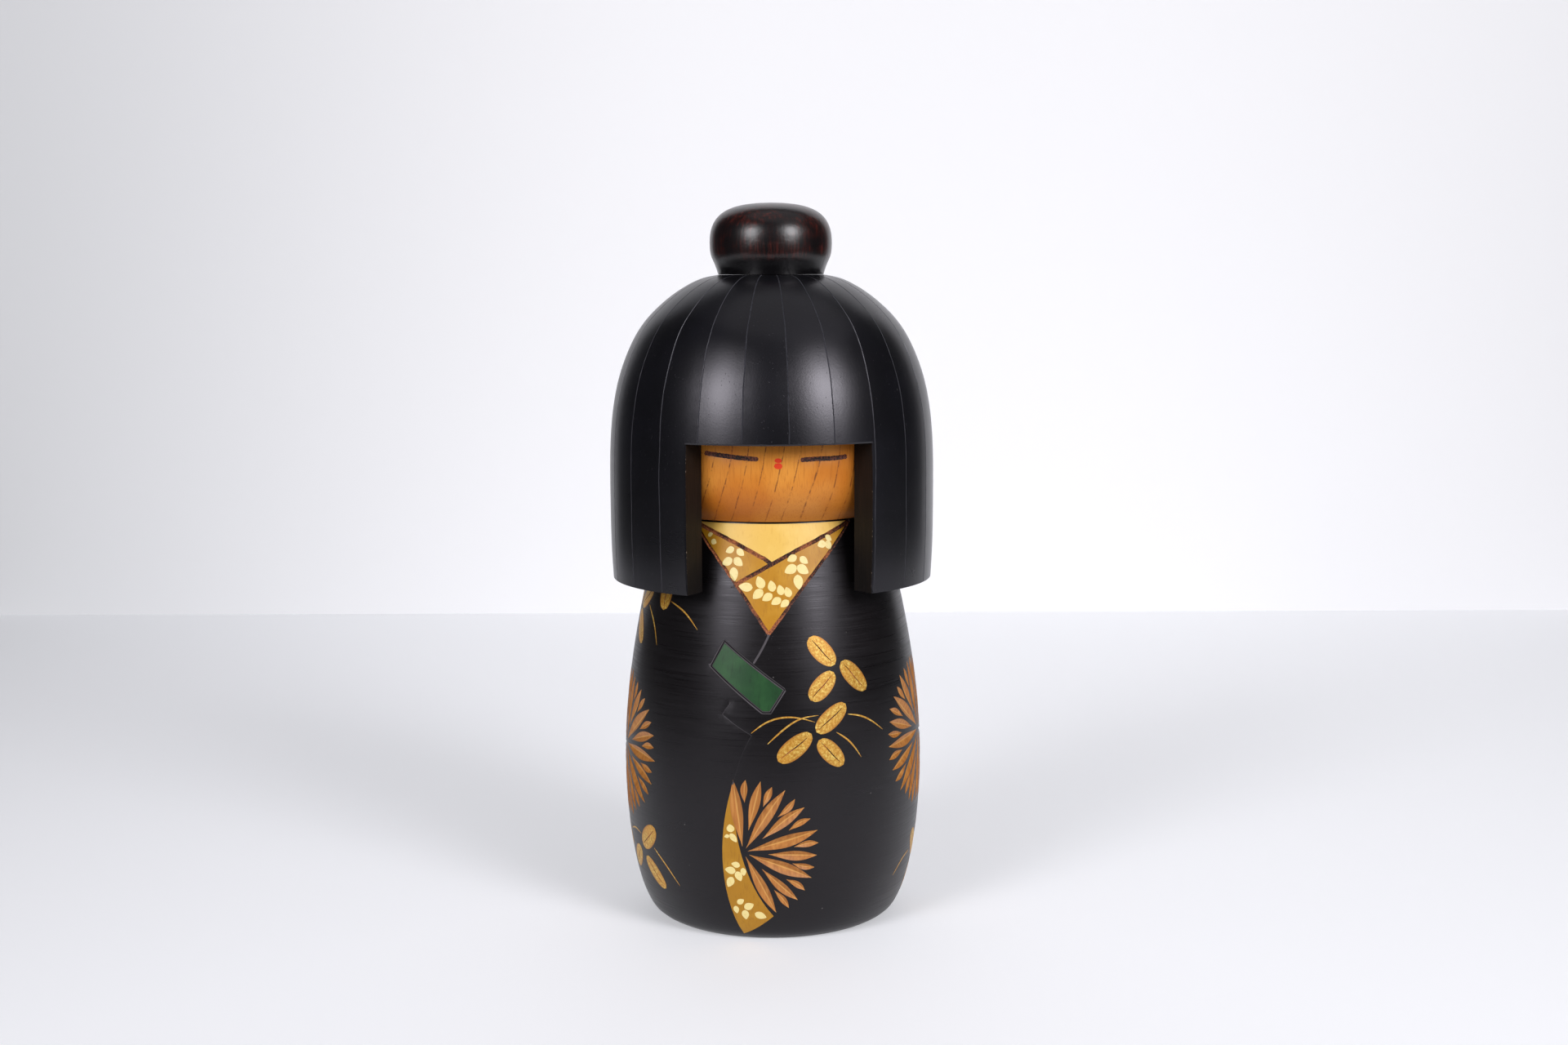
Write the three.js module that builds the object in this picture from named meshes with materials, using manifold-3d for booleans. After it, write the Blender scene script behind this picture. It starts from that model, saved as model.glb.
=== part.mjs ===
// Kokeshi doll in turned wood: a robed trunk, a face block under a thick bell of hair, and a bun.
// Millimetres, +Z up. The origin is the centre of the base and the face looks along -Y.
// The trunk and each head piece are turned on one axis; two dowels hold them together.

import * as THREE from 'three';
import { mergeVertices } from 'three/addons/utils/BufferGeometryUtils.js';
import Module from 'manifold-3d';

const wasm = await Module();
wasm.setup();

// Trunk: the robe's barrel below and the shoulders rising to a flat neck top.
const trunkHeight = 131.5;
const baseRadius = 37;
const bellyRadius = 48.4;
const bellyHeight = 50;
const footBulge = 7.3; // how far the foot curve runs out beside the base circle
const footRise = 1.6;
const footReach = 21.9; // length of the foot curve's upright part, below the belly
const neckRadius = 35.1;
const shoulderReach = 30.5; // length of the shoulder curve's upright part, above the belly
const shoulderBulge = 5.9;
const shoulderDrop = 20.8;

// Hair: a bell turned hollow from below, with a window cut for the face.
const skirtOverlap = 21.1; // how far the hair hangs below the neck top
const skirtGap = 2.4; // bare space between the hair and the trunk at the hair's lower edge
const hairWall = 9.25; // wall at the widest ring
const rimTuck = 0.7; // the outside draws in by this much at the lower edge
const widestRise = 31.9; // from the lower edge up to the widest ring
const crownWall = 35.2; // solid wood between the cavity's ceiling and the bun's seat
const turnOverDrop = 18.5; // from the bun's seat down to where the side turns over into the crown
const shoulderInset = 9.1;
const shoulderSlope = 0.49; // inward share of the tangent where the side turns over
const sideReach = 21.8;
const shoulderReachBelow = 14.2;
const shoulderReachAbove = 8.8;
const crownSpread = 9.2; // the flat last stretch of the crown, outside the bun's foot
const crownFall = 0.4;

// Face window, as an angle each side of the face's middle and a height above the neck top.
const windowHalfAngle = THREE.MathUtils.degToRad(33.1);
const foreheadHeight = 25.1;
const windowMargin = 3; // the cutter runs past the wall by this much

// Face block: a plain turned block with a bowl-shaped chin.
const chinLip = 1; // chin radius beyond the neck
const chinBulge = 5.6;
const chinRise = 22;
const chinReach = 12;
const headWeb = 7.9; // wood left between the two dowel holes

// Bun
const bunHeight = 22.5;
const bunFootRadius = 17;
const bunRadius = 19.6;
const bunWidestRise = 9.9;
const bunFootFlare = 1.5; // how far the foot's curve leans out
const bunFootReach = 5.3;
const bunSideReach = 5.5;
const bunTopReach = 9.4;
const bunTopSpread = 13.4;

// Dowels
const neckDowelRadius = 9;
const neckDowelInTrunk = 30;
const neckDowelInHead = 20;
const bunDowelRadius = 4;
const bunDowelInHead = 10;
const bunDowelInBun = 12;
const dowelChamfer = 1;

// Clearances
const gap = 0.3; // between two faces that meet
const holeGap = 0.3; // around a dowel
const endGap = 1; // past a dowel's end

// The head can be turned on its dowel; it stands a little to the doll's left.
const headTurn = THREE.MathUtils.degToRad(3.4);

// How finely the turned shapes are cut
const around = 96;
const aroundBun = 64;
const aroundDowel = 40;
const curveSteps = 9;

// Heights that follow
const rimZ = trunkHeight - skirtOverlap;
const headBottom = trunkHeight + gap;
const headHeight = neckDowelInHead + endGap + headWeb + endGap + bunDowelInHead;
const headTop = headBottom + headHeight;
const ceilingZ = headTop + gap;
const seatZ = ceilingZ + crownWall;
const bunBottom = seatZ + gap;
const windowTop = trunkHeight + foreheadHeight;

const at = (radius, height) => new THREE.Vector2(radius, height);

function bend(start, startHandle, endHandle, end, steps = curveSteps) {
  return new THREE.CubicBezierCurve(start, startHandle, endHandle, end).getPoints(steps);
}

// Curves and single points, in order, as one profile without doubled points.
function profile(...pieces) {
  const points = pieces.flat();
  return points.filter((point, i) => i === 0 || point.distanceTo(points[i - 1]) > 1e-6);
}

// A profile of (radius, height) points, from the bottom up its outside, turned about Z.
function turned(points, segments = around) {
  return new THREE.LatheGeometry(points, segments).rotateX(Math.PI / 2);
}

function footCurve() {
  return bend(
    at(baseRadius, 0),
    at(baseRadius + footBulge, footRise),
    at(bellyRadius, bellyHeight - footReach),
    at(bellyRadius, bellyHeight),
  );
}

function shoulderCurve(steps = curveSteps) {
  return bend(
    at(bellyRadius, bellyHeight),
    at(bellyRadius, bellyHeight + shoulderReach),
    at(neckRadius + shoulderBulge, trunkHeight - shoulderDrop),
    at(neckRadius, trunkHeight),
    steps,
  );
}

// The trunk's radius at a height between the belly and the neck top.
function trunkRadiusAt(height) {
  const points = shoulderCurve(200);
  const above = points.findIndex((point) => point.y >= height);
  const [low, high] = [points[above - 1], points[above]];
  const share = (height - low.y) / (high.y - low.y);
  return low.x + share * (high.x - low.x);
}

const cavityRadius = trunkRadiusAt(rimZ) + skirtGap;
const hairRadius = cavityRadius + hairWall;
const headRadius = cavityRadius - gap;

function trunkShape() {
  const socketRadius = neckDowelRadius + holeGap;
  const socketFloor = trunkHeight - neckDowelInTrunk - endGap;
  return turned(profile(
    at(0, 0),
    footCurve(),
    shoulderCurve(),
    at(socketRadius, trunkHeight),
    at(socketRadius, socketFloor),
    at(0, socketFloor),
  ));
}

function headShape() {
  const boreRadius = neckDowelRadius + holeGap;
  const boreTop = headBottom + neckDowelInHead + endGap;
  const pinHoleRadius = bunDowelRadius + holeGap;
  const pinHoleFloor = headTop - bunDowelInHead - endGap;
  const chinRadius = neckRadius + chinLip;
  const chin = bend(
    at(chinRadius, headBottom),
    at(Math.min(chinRadius + chinBulge, headRadius), headBottom + chinBulge),
    at(headRadius, headBottom + chinRise - chinReach),
    at(headRadius, headBottom + chinRise),
  );
  return turned(profile(
    at(0, boreTop),
    at(boreRadius, boreTop),
    at(boreRadius, headBottom),
    chin,
    at(headRadius, headTop),
    at(pinHoleRadius, headTop),
    at(pinHoleRadius, pinHoleFloor),
    at(0, pinHoleFloor),
  ));
}

function hairOutside() {
  const widest = at(hairRadius, rimZ + widestRise);
  const turnOver = at(hairRadius - shoulderInset, seatZ - turnOverDrop);
  const tangent = at(-shoulderSlope, Math.sqrt(1 - shoulderSlope ** 2));
  return profile(
    bend(
      at(hairRadius - rimTuck, rimZ),
      at(hairRadius, rimZ + widestRise / 3),
      at(hairRadius, rimZ + widestRise / 2),
      widest,
      4,
    ),
    bend(
      widest,
      at(widest.x, widest.y + sideReach),
      turnOver.clone().addScaledVector(tangent, -shoulderReachBelow),
      turnOver,
      6,
    ),
    bend(
      turnOver,
      turnOver.clone().addScaledVector(tangent, shoulderReachAbove),
      at(bunFootRadius + crownSpread, seatZ - crownFall),
      at(bunFootRadius, seatZ),
      6,
    ),
  );
}

// A wedge from the axis outwards, open below the hair, that leaves the locks at its two sides.
function faceWindow() {
  const reach = (hairRadius + windowMargin) / Math.cos(windowHalfAngle);
  const middle = -Math.PI / 2;
  const sector = new THREE.Shape();
  sector.moveTo(0, 0);
  sector.lineTo(
    reach * Math.cos(middle - windowHalfAngle),
    reach * Math.sin(middle - windowHalfAngle),
  );
  sector.lineTo(
    reach * Math.cos(middle + windowHalfAngle),
    reach * Math.sin(middle + windowHalfAngle),
  );
  const cutterBottom = rimZ - windowMargin;
  return new THREE.ExtrudeGeometry(sector, { depth: windowTop - cutterBottom, bevelEnabled: false })
    .translate(0, 0, cutterBottom);
}

function hairShape() {
  const pinHoleRadius = bunDowelRadius + holeGap;
  const bell = turned(profile(
    at(cavityRadius, rimZ),
    hairOutside(),
    at(pinHoleRadius, seatZ),
    at(pinHoleRadius, ceilingZ),
    at(cavityRadius, ceilingZ),
    at(cavityRadius, rimZ),
  ));
  return cut(bell, faceWindow());
}

function bunShape() {
  const holeRadius = bunDowelRadius + holeGap;
  const holeTop = bunBottom + bunDowelInBun + endGap;
  const widest = at(bunRadius, bunBottom + bunWidestRise);
  const top = bunBottom + bunHeight;
  return turned(profile(
    at(0, holeTop),
    at(holeRadius, holeTop),
    at(holeRadius, bunBottom),
    bend(
      at(bunFootRadius, bunBottom),
      at(bunFootRadius + bunFootFlare, bunBottom + bunFootReach),
      at(widest.x, widest.y - bunSideReach),
      widest,
      6,
    ),
    bend(
      widest,
      at(widest.x, widest.y + bunTopReach),
      at(bunTopSpread, top),
      at(0, top),
      8,
    ),
  ), aroundBun);
}

function dowelShape(radius, bottom, top) {
  return turned(profile(
    at(0, bottom),
    at(radius - dowelChamfer, bottom),
    at(radius, bottom + dowelChamfer),
    at(radius, top - dowelChamfer),
    at(radius - dowelChamfer, top),
    at(0, top),
  ), aroundDowel);
}

// A closed geometry as a solid that can be cut.
function toSolid(geometry) {
  const bare = geometry.clone();
  bare.deleteAttribute('normal');
  bare.deleteAttribute('uv');
  const merged = mergeVertices(bare, 1e-4);
  return new wasm.Manifold(new wasm.Mesh({
    numProp: 3,
    vertProperties: new Float32Array(merged.attributes.position.array),
    triVerts: new Uint32Array(merged.index.array),
  }));
}

function cut(body, tool) {
  const result = toSolid(body).subtract(toSolid(tool)).getMesh();
  const geometry = new THREE.BufferGeometry();
  geometry.setAttribute('position', new THREE.BufferAttribute(result.vertProperties, 3));
  geometry.setIndex(new THREE.BufferAttribute(result.triVerts, 1));
  geometry.computeVertexNormals();
  return geometry;
}

const blackLacquer = new THREE.MeshStandardMaterial({ color: 0x2a2627, roughness: 0.42 });
const hairLacquer = new THREE.MeshStandardMaterial({ color: 0x1d1d21, roughness: 0.36 });
const bunLacquer = new THREE.MeshStandardMaterial({ color: 0x2a1517, roughness: 0.24 });
const faceWood = new THREE.MeshStandardMaterial({ color: 0xc07a38, roughness: 0.5 });
const dowelWood = new THREE.MeshStandardMaterial({ color: 0xd9b98a, roughness: 0.7 });

function piece(name, geometry, material) {
  const mesh = new THREE.Mesh(geometry, material);
  mesh.name = name;
  return mesh;
}

const doll = new THREE.Group();
doll.add(piece('trunk', trunkShape(), blackLacquer));
doll.add(piece(
  'neck_dowel',
  dowelShape(neckDowelRadius, trunkHeight - neckDowelInTrunk, headBottom + neckDowelInHead),
  dowelWood,
));

const headGroup = new THREE.Group();
headGroup.rotation.z = headTurn;
headGroup.add(piece('head', headShape(), faceWood));
headGroup.add(piece('hair_cap', hairShape(), hairLacquer));
headGroup.add(piece('bun', bunShape(), bunLacquer));
headGroup.add(piece(
  'bun_dowel',
  dowelShape(bunDowelRadius, headTop - bunDowelInHead, bunBottom + bunDowelInBun),
  dowelWood,
));
doll.add(headGroup);

export default doll;
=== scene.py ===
import math
import random

import bpy
import numpy as np
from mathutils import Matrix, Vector, kdtree, noise
from mathutils.geometry import delaunay_2d_cdt


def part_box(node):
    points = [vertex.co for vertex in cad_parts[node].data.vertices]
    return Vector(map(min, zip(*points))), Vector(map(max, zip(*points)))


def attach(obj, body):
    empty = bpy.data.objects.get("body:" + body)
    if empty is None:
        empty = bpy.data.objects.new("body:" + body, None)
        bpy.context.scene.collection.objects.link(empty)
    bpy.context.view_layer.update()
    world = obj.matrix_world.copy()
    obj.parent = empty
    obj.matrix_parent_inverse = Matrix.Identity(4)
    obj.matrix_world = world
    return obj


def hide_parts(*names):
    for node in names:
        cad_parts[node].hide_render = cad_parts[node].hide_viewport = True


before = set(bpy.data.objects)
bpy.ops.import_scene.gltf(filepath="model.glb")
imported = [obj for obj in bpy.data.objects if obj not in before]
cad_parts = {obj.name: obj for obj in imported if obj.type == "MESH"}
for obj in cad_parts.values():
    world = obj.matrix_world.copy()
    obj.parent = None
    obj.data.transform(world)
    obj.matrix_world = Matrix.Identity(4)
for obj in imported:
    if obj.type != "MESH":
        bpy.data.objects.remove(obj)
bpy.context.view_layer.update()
mm = 0.001
trunkBody = "trunk_assembly"
headBody = "head_assembly"
print("frame loaded:", sorted(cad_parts))


def tint(code):  # a #rrggbb colour as the linear values that shaders use
    parts = [int(code[i:i + 2], 16) / 255 for i in (1, 3, 5)]
    return tuple(p / 12.92 if p <= 0.04045 else ((p + 0.055) / 1.055) ** 2.4 for p in parts) + (1.0,)


class Wire:  # a shader value that takes arithmetic
    def __init__(self, tree, socket):
        self.tree = tree
        self.socket = socket

    def math(self, operation, other=0.0, swap=False):
        node = self.tree.nodes.new("ShaderNodeMath")
        node.operation = operation
        first, second = (other, self) if swap else (self, other)
        plug(self.tree, first, node.inputs[0])
        plug(self.tree, second, node.inputs[1])
        return Wire(self.tree, node.outputs[0])

    def __add__(self, other):
        return self.math("ADD", other)

    __radd__ = __add__

    def __sub__(self, other):
        return self.math("SUBTRACT", other)

    def __rsub__(self, other):
        return self.math("SUBTRACT", other, swap=True)

    def __mul__(self, other):
        return self.math("MULTIPLY", other)

    __rmul__ = __mul__

    def __truediv__(self, other):
        return self.math("DIVIDE", other)

    def __rtruediv__(self, other):
        return self.math("DIVIDE", other, swap=True)


def plug(tree, value, socket):  # a wire, a number, or a colour code
    if isinstance(value, Wire):
        tree.links.new(value.socket, socket)
    else:
        socket.default_value = tint(value) if isinstance(value, str) else value


class Finish:  # one material: a Principled surface and the nodes that feed it
    def __init__(self, name, **surface):
        self.material = bpy.data.materials.new(name)
        self.material.use_nodes = True
        self.tree = self.material.node_tree
        self.surface = self.tree.nodes["Principled BSDF"]
        self.set(**surface)
        self.place = None

    def set(self, **surface):  # baseColor=... goes to the socket "Base Color"
        for key, value in surface.items():
            for socket in self.surface.inputs:
                if socket.name.replace(" ", "").lower() == key.lower():
                    plug(self.tree, value, socket)
        return self

    def node(self, kind, settings=None, inputs=None, out=0):
        made = self.tree.nodes.new(kind)
        for key, value in (settings or {}).items():
            if key == "stops":
                ramp = made.color_ramp.elements
                while len(ramp) < len(value):
                    ramp.new(0.5)
                for stop, (where, colour) in zip(ramp, value):
                    stop.position = where
                    stop.color = tint(colour)
            else:
                setattr(made, key, value)
        for key, value in (inputs or {}).items():
            plug(self.tree, value, made.inputs[key])
        return Wire(self.tree, made.outputs[out])

    def point(self, stretch=(1, 1, 1)):  # the place on the doll in mm, stretched along each axis
        if self.place is None:
            self.place = self.node("ShaderNodeTexCoord", out="Object")
        scale = tuple(s / mm for s in stretch)
        return self.node("ShaderNodeVectorMath", {"operation": "MULTIPLY"}, {0: self.place, 1: scale})

    def axis(self, name):  # one coordinate in mm
        return self.node("ShaderNodeSeparateXYZ", inputs={0: self.point()}, out=name)

    def noise(self, scale, stretch=(1, 1, 1), detail=2.0, roughness=0.5):
        inputs = {"Vector": self.point(stretch), "Scale": scale, "Detail": detail, "Roughness": roughness}
        return self.node("ShaderNodeTexNoise", None, inputs, "Fac")

    def fibre(self, across, up, detail, roughness=0.5):  # noise drawn out along or across the doll
        return self.noise(1.0, (across, across, up), detail, roughness)

    def specks(self, scale, radius, stretch=(1, 1, 1)):  # 1 in small scattered dots
        near = self.node("ShaderNodeTexVoronoi", {"feature": "F1"},
                         {"Vector": self.point(stretch), "Scale": scale}, "Distance")
        return self.fade(near, radius, radius * 0.5)

    def fade(self, value, low, high):  # 0 at low and 1 at high, with soft ends
        inputs = {"Value": value, "From Min": low, "From Max": high}
        if low > high:
            inputs = {"Value": value, "From Min": high, "From Max": low, "To Min": 1.0, "To Max": 0.0}
        return self.node("ShaderNodeMapRange", {"interpolation_type": "SMOOTHSTEP"}, inputs)

    def mix(self, first, second, share):
        return self.node("ShaderNodeMix", {"data_type": "RGBA"}, {0: share, 6: first, 7: second}, 2)

    def ramp(self, value, stops):
        return self.node("ShaderNodeValToRGB", {"stops": stops}, {0: value})

    def drawn(self, name):  # a value stored on the mesh
        return self.node("ShaderNodeAttribute", {"attribute_name": name}, out="Fac")

    def bump(self, height, depth):  # depth in mm
        return self.node("ShaderNodeBump", None, {"Height": height, "Distance": depth * mm, "Strength": 1.0})


# the studio in metres: two softboxes, a paper floor and a lit paper wall; both papers also glow, and their
# colour carries a painted falloff of light towards the sides
view = {"lens": 45.94, "sensor": 36.0, "nearest": 0.02, "distance": 0.6455, "height": 0.2088, "side": 0.0042,
        "pitch": 7.21, "roll": 0.2}
studio = {"wallBehind": 0.565, "paperSides": (-0.5, 0.58), "paperFront": -0.36, "wallHeight": 0.95,
          "aimHeight": 0.15, "boxDistance": 1.45, "boxTurn": (-38.0, 41.0), "boxRise": (23.0, 24.0),
          "boxPower": (13.6, 16.6), "boxLayers": [((0.5, 0.62), 0.66), ((0.95, 1.05), 0.44)],  # size, share
          "wash": 3.5, "washSide": 0.3, "washHeight": 1.5, "washAim": 0.2, "washSize": (2.0, 1.6),
          "lightColour": (0.985, 0.97, 1.0), "airColour": (0.92, 0.94, 1.0, 1.0), "air": 0.03,
          "backdrop": 0.86, "dimLeft": (-560.0, 0.0), "dimRight": (150.0, 620.0), "dimShare": 0.3}  # the side dimming is a painted falloff of light, in mm


def makeCamera():
    data = bpy.data.cameras.new("camera")
    data.lens = view["lens"]
    data.sensor_width = view["sensor"]
    data.clip_start = view["nearest"]
    camera = bpy.data.objects.new("camera", data)
    camera.location = (view["side"], -view["distance"], view["height"])
    camera.rotation_euler = (math.radians(90 - view["pitch"]), math.radians(view["roll"]), 0)
    bpy.context.scene.collection.objects.link(camera)
    bpy.context.scene.camera = camera


def stagePlane(name, corners, finish):
    mesh = bpy.data.meshes.new(name)
    mesh.from_pydata(corners, [], [range(len(corners))])
    plane = bpy.data.objects.new(name, mesh)
    plane.data.materials.append(finish)
    bpy.context.scene.collection.objects.link(plane)


def paper(name, colour, paintedShadeColour, roughness, glow):  # glowing paper whose colour is brightest behind the doll and dimmer to both sides: a painted falloff of light
    finish = Finish(name, roughness=roughness, emissionStrength=glow)
    across = finish.axis("X")
    # painted falloff of light: the paper's colour darkens towards the left and, less, towards the right
    right = finish.fade(across, *studio["dimRight"]) * studio["dimShare"]
    paintedLightShare = finish.fade(across, *studio["dimLeft"]) - right
    paintedShade = finish.mix(paintedShadeColour, colour, paintedLightShare)
    finish.set(baseColor=paintedShade, emissionColor=paintedShade)
    return finish.material


def areaLight(name, place, target, size, power):
    data = bpy.data.lights.new(name, "AREA")
    data.shape = "ELLIPSE"
    data.size, data.size_y = size
    data.energy = power
    data.color = studio["lightColour"]
    light = bpy.data.objects.new(name, data)
    light.location = place
    light.visible_camera = False
    light.rotation_euler = (Vector(target) - Vector(place)).to_track_quat("-Z", "Y").to_euler()
    bpy.context.scene.collection.objects.link(light)


def makeStudio():
    (left, right), back = studio["paperSides"], studio["wallBehind"]
    front, high = studio["paperFront"], studio["wallHeight"]
    floor = paper("floorPaper", "#d6d7da", "#c2c3c6", 0.75, 0.42)
    wall = paper("wallPaper", "#d3d3d5", "#b7b8ba", 0.9, 0.4)
    stagePlane("floor", [(left, front, 0), (right, front, 0), (right, back, 0), (left, back, 0)], floor)
    stagePlane("wall", [(left, back, 0), (right, back, 0), (right, back, high), (left, back, high)], wall)
    middle = Vector((0, 0, studio["aimHeight"]))
    for side, turn, rise, power in zip("LR", studio["boxTurn"], studio["boxRise"], studio["boxPower"]):
        turn, rise = math.radians(turn), math.radians(rise)
        reach = studio["boxDistance"]
        out = Vector((math.sin(turn) * math.cos(rise), -math.cos(turn) * math.cos(rise), math.sin(rise)))
        for i, (size, share) in enumerate(studio["boxLayers"]):  # a bright middle and a softer rim
            areaLight(f"softbox{side}{i}", middle + out * reach, middle, size, power * share)
    side = studio["washSide"]
    areaLight("wallWash", (side, 0.0, studio["washHeight"]), (side, back, studio["washAim"]),
              studio["washSize"], studio["wash"])
    world = bpy.data.worlds.new("studioAir")
    world.use_nodes = True
    air = world.node_tree.nodes["Background"]
    air.inputs["Color"].default_value = studio["airColour"]
    path = Wire(world.node_tree, world.node_tree.nodes.new("ShaderNodeLightPath").outputs["Is Camera Ray"])
    glow = studio["air"] + path * (studio["backdrop"] - studio["air"])
    plug(world.node_tree, glow, air.inputs["Strength"])
    bpy.context.scene.world = world
    bpy.context.scene.view_settings.view_transform = "Standard"


makeCamera()
makeStudio()
print("camera and studio set")


# turned surfaces are read from the CAD blocks and worked in mm
turning = {"skinInset": 0.06, "filmLift": 0.03, "filmSink": 0.06, "sharpAngle": 17.0, "holeGap": 0.3,
           "holeEnd": 1, "ringPoints": 50, "ringHeight": 0.06, "ringDepth": 0.05, "longStretch": 11,
           "perStretch": 3, "steps": 3000, "pointGap": 1e-5, "touching": 1e-4, "nothing": 1e-3,
           "readMargin": 0.01, "markClearance": 0.45, "sideClearance": 0.3}  # clearances in grid steps


def smoothCurve(knots, values, at):  # natural cubic through the values, read at other places
    count = len(knots)
    step = np.diff(knots)
    system = np.zeros((count, count))
    right = np.zeros(count)
    system[0, 0] = system[-1, -1] = 1
    for i in range(1, count - 1):
        system[i, i - 1:i + 2] = step[i - 1], 2 * (step[i - 1] + step[i]), step[i]
        right[i] = 6 * ((values[i + 1] - values[i]) / step[i] - (values[i] - values[i - 1]) / step[i - 1])
    bend = np.linalg.solve(system, right)
    k = np.clip(np.searchsorted(knots, at) - 1, 0, count - 2)
    h, a, b = step[k], knots[k + 1] - at, at - knots[k]
    return (bend[k] * a ** 3 + bend[k + 1] * b ** 3) / (6 * h) \
        + (values[k] / h - bend[k] * h / 6) * a + (values[k + 1] / h - bend[k + 1] * h / 6) * b


class Turned:  # the outside of a turned block, by length along its outline from the lower end, in mm
    def __init__(self, node, keep):
        places = np.array([v.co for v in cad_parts[node].data.vertices]) / mm
        places = np.unique(places.round(2), axis=0)
        radius = np.hypot(places[:, 0], places[:, 1])
        rings = []
        for z in np.unique(places[:, 2].round(1)):
            level = np.abs(places[:, 2] - z) < turning["ringHeight"]
            widest = radius[level].max()
            outer = level & (radius > widest - turning["ringDepth"])
            if outer.sum() > turning["ringPoints"] and keep(widest, z):
                rings.append((widest, places[outer, 2].mean()))
        outline = [rings[0]]
        for ring in rings[1:]:  # a long straight stretch gets points of its own
            last = outline[-1]
            parts = int(math.dist(last, ring) // turning["longStretch"]) * turning["perStretch"] + 1
            outline += [tuple(np.interp(i / parts, (0, 1), pair) for pair in zip(last, ring))
                        for i in range(1, parts + 1)]
        outline = np.array(outline)
        knots = np.r_[0, np.cumsum(np.hypot(*np.diff(outline, axis=0).T))]
        fine = np.linspace(0, knots[-1], turning["steps"])
        self.r = smoothCurve(knots, outline[:, 0], fine)
        self.z = smoothCurve(knots, outline[:, 1], fine)
        dr, dz = np.gradient(self.r), np.gradient(self.z)
        size = np.hypot(dr, dz)
        self.nr, self.nz = dz / size, -dr / size
        self.r = self.r - self.nr * turning["skinInset"]
        self.z = self.z - self.nz * turning["skinInset"]
        self.s = np.r_[0, np.cumsum(np.hypot(np.diff(self.r), np.diff(self.z)))]
        self.length = self.s[-1]
        self.widest = self.r.max()

    def lengthAt(self, height):
        return np.interp(height, self.z, self.s)

    def heightAt(self, length):
        return np.interp(length, self.s, self.z)

    def radiusAt(self, length):
        return np.interp(length, self.s, self.r)

    def placed(self, azimuth, length, depth=0.0):  # 3-D places in mm
        nr, nz = np.interp(length, self.s, self.nr), np.interp(length, self.s, self.nz)
        r = np.interp(length, self.s, self.r) - nr * depth
        z = np.interp(length, self.s, self.z) - nz * depth
        return np.column_stack([r * np.sin(azimuth), -r * np.cos(azimuth), z])


class Spot:  # a place on a turned surface with flat coordinates round it, in mm
    def __init__(self, surface, azimuth, height):
        self.surface = surface
        self.s0 = surface.lengthAt(height)
        self.a0 = math.radians(azimuth)
        self.r0 = surface.radiusAt(self.s0)

    def toSheet(self, flat):
        across, along = np.asarray(flat, float).T
        return np.column_stack([(self.a0 + across / self.r0) * self.surface.widest, self.s0 + along])

    def toFlat(self, sheet):
        across, along = sheet.T
        return np.column_stack([(across / self.surface.widest - self.a0) * self.r0, along - self.s0])

    def flat(self, places):  # (azimuth, height) pairs as flat coordinates
        widest, lengthAt = self.surface.widest, self.surface.lengthAt
        return self.toFlat(np.array([[math.radians(a) * widest, lengthAt(h)] for a, h in places]))


def spotAmong(surface, places):  # a spot at the middle one of some places, and the flat line through all
    spot = Spot(surface, *places[len(places) // 2])
    return spot, spot.flat(places)


class Ribbon:  # a long cut or brush stroke: a middle line with a half width and a depth along it
    def __init__(self, spot, line, width, depth=0.0, film=None, bow=1.0, lanes=()):
        self.spot = spot
        self.line = np.asarray(line, float)
        count = len(self.line)
        self.half = np.broadcast_to(np.asarray(width, float) / 2, count).copy()
        self.depth = np.broadcast_to(np.asarray(depth, float), count).copy()
        self.film = film
        self.bow = bow
        along = np.gradient(self.line, axis=0)
        along /= np.linalg.norm(along, axis=1)[:, None]
        self.side = np.column_stack([-along[:, 1], along[:, 0]])
        self.lanes = lanes

    def outline(self):
        left = self.line + self.side * self.half[:, None]
        right = self.line - self.side * self.half[:, None]
        if self.half[0] < turning["nothing"]:
            right = right[1:]
        if self.half[-1] < turning["nothing"]:
            right = right[:-1]
        return np.vstack([left, right[::-1]])

    def middleLines(self):
        lines = [self.line]
        for lane in self.lanes:
            for sign in (-1, 1):
                lines.append((self.line + self.side * self.half[:, None] * lane * sign)[1:-1])
        return lines

    def read(self, sheet):  # depth and share across (0 middle, 1 edge) at places on the sheet
        flat = self.spot.toFlat(sheet)
        start, step = self.line[:-1], np.diff(self.line, axis=0)
        long2 = (step ** 2).sum(1)
        t = np.clip(((flat[:, None] - start) * step).sum(2) / long2, 0, 1)
        away = np.linalg.norm(flat[:, None] - start - t[..., None] * step, axis=2)
        half = self.half[:-1] + t * np.diff(self.half)
        depth = self.depth[:-1] + t * np.diff(self.depth)
        across = np.minimum(away / np.maximum(half, turning["nothing"]), 1.0)
        pick = np.arange(len(flat)), across.argmin(1)
        return (depth * (1 - across ** self.bow))[pick], across[pick]


class Patch:  # a painted field with an outline and no depth
    def __init__(self, spot, outline, film):
        self.spot = spot
        self.points = np.asarray(outline, float)
        self.film = film

    def outline(self):
        return self.points

    def middleLines(self):
        return []

    def read(self, sheet):
        zero = np.zeros(len(sheet))
        return zero, zero


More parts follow.
